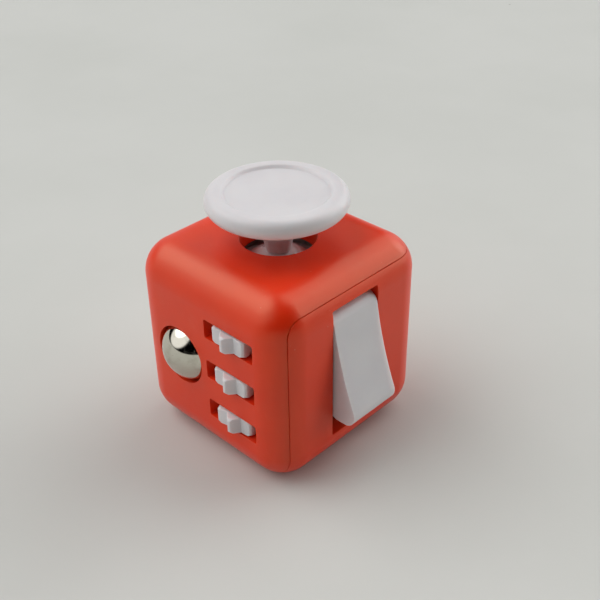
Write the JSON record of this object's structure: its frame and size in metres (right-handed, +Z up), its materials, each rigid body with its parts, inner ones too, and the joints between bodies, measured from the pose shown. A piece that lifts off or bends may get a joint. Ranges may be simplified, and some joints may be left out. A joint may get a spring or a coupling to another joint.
{
  "type": "fidget cube",
  "caption": "Pocket-size rounded cube with a different fidget on each face: joystick disc, steel ball with toothed cogs, rocker switch, push buttons, dial and a dished thumb rest.",
  "frame": {"origin": "middle of the case's base face, which it rests on", "axes": "+Z up through the joystick; -Y is the face with the ball and cogs; +X is the face with the rocker; +Y is the face with the buttons; -X is the face with the dial"},
  "size_m": [0.0395, 0.0365, 0.041],
  "materials": {
    "case": "satin-moulded red-orange ABS",
    "white_plastic": "slightly translucent milk-white ABS",
    "frame_plastic": "plain moulded inner parts",
    "ball_steel": "polished steel with fine scuffs",
    "steel_pin": "ground steel",
    "spring_steel": "drawn spring steel",
    "screw_steel": "zinc-plated steel"
  },
  "bodies": {
    "case": {"top_shell": "case", "base_shell": "case", "glide_housing": "frame_plastic", "glide_spring": "spring_steel", "glide_screws": "screw_steel", "ball_spring": "spring_steel", "roll_bracket": "frame_plastic", "cog_axle": "steel_pin", "cog_detent": "spring_steel", "roll_screws": "screw_steel", "rocker_pin": "steel_pin", "rocker_cradle": "frame_plastic", "rocker_spring": "spring_steel", "rocker_screws": "screw_steel", "button_spring_1": "spring_steel", "button_spring_2": "spring_steel", "button_spring_3": "spring_steel", "button_spring_4": "spring_steel", "button_spring_5": "spring_steel", "button_guide": "frame_plastic", "button_screws": "screw_steel", "dial_detent": "spring_steel"},
    "gimbal": {"glide_gimbal": "frame_plastic", "gimbal_pins": "steel_pin"},
    "joystick": {"glide_cap": "white_plastic", "glide_stick": "white_plastic", "glide_pin": "steel_pin"},
    "ball_carrier": {"ball_seat": "frame_plastic"},
    "ball": {"roll_ball": "ball_steel"},
    "top_cog": {"cog_top": "white_plastic"},
    "middle_cog": {"cog_middle": "white_plastic"},
    "bottom_cog": {"cog_bottom": "white_plastic"},
    "rocker_switch": {"rocker": "white_plastic"},
    "push_button_1": {"button_1": "white_plastic"},
    "push_button_2": {"button_2": "white_plastic"},
    "push_button_3": {"button_3": "white_plastic"},
    "push_button_4": {"button_4": "white_plastic"},
    "push_button_5": {"button_5": "white_plastic"},
    "dial_wheel": {"dial": "white_plastic", "dial_ratchet": "frame_plastic", "dial_screw": "screw_steel"}
  },
  "joints": [
    {"name": "glide_front_back", "type": "hinge", "parent": "case", "child": "gimbal", "pos_m": [0, 0, 0.0228], "axis": [1, 0, 0], "range_deg": [-11, 11], "stiffness_Nm_per_rad": 0.03, "deforming": ["glide_spring"]},
    {"name": "glide_left_right", "type": "hinge", "parent": "gimbal", "child": "joystick", "pos_m": [0, 0, 0.0228], "axis": [0, 1, 0], "range_deg": [-11, 11], "stiffness_Nm_per_rad": 0.03, "deforming": ["glide_spring"]},
    {"name": "ball_press", "type": "slide", "parent": "case", "child": "ball_carrier", "axis": [0, 1, 0], "range_m": [0, 0.001], "stiffness_N_per_m": 500, "springref_m": -0.001, "deforming": ["ball_spring"]},
    {"name": "ball_roll", "type": "hinge", "parent": "ball_carrier", "child": "ball", "pos_m": [-0.0058, -0.0131, 0.0162], "axis": [1, 0, 0], "continuous": true},
    {"name": "cog_top_spin", "type": "hinge", "parent": "case", "child": "top_cog", "pos_m": [0.0057, -0.0133, 0.0243], "axis": [0, 0, 1], "continuous": true, "deforming": ["cog_detent"]},
    {"name": "cog_middle_spin", "type": "hinge", "parent": "case", "child": "middle_cog", "pos_m": [0.0057, -0.0133, 0.0168], "axis": [0, 0, 1], "continuous": true, "deforming": ["cog_detent"]},
    {"name": "cog_bottom_spin", "type": "hinge", "parent": "case", "child": "bottom_cog", "pos_m": [0.0057, -0.0133, 0.0093], "axis": [0, 0, 1], "continuous": true, "deforming": ["cog_detent"]},
    {"name": "rocker_flip", "type": "hinge", "parent": "case", "child": "rocker_switch", "pos_m": [0.0125, -0.0004, 0.0173], "axis": [0, 1, 0], "range_deg": [0, 32], "deforming": ["rocker_spring"]},
    {"name": "button_1_press", "type": "slide", "parent": "case", "child": "push_button_1", "axis": [0, -1, 0], "range_m": [0, 0.0012], "stiffness_N_per_m": 300, "springref_m": -0.001, "deforming": ["button_spring_1"]},
    {"name": "button_2_press", "type": "slide", "parent": "case", "child": "push_button_2", "axis": [0, -1, 0], "range_m": [0, 0.0012], "stiffness_N_per_m": 300, "springref_m": -0.001, "deforming": ["button_spring_2"]},
    {"name": "button_3_press", "type": "slide", "parent": "case", "child": "push_button_3", "axis": [0, -1, 0], "range_m": [0, 0.0012], "stiffness_N_per_m": 300, "springref_m": -0.001, "deforming": ["button_spring_3"]},
    {"name": "button_4_press", "type": "slide", "parent": "case", "child": "push_button_4", "axis": [0, -1, 0], "range_m": [0, 0.0012], "stiffness_N_per_m": 300, "springref_m": -0.001, "deforming": ["button_spring_4"]},
    {"name": "button_5_press", "type": "slide", "parent": "case", "child": "push_button_5", "axis": [0, -1, 0], "range_m": [0, 0.0012], "stiffness_N_per_m": 300, "springref_m": -0.001, "deforming": ["button_spring_5"]},
    {"name": "dial_spin", "type": "hinge", "parent": "case", "child": "dial_wheel", "pos_m": [-0.0165, 0, 0.0165], "axis": [-1, 0, 0], "continuous": true, "deforming": ["dial_detent"]}
  ]
}
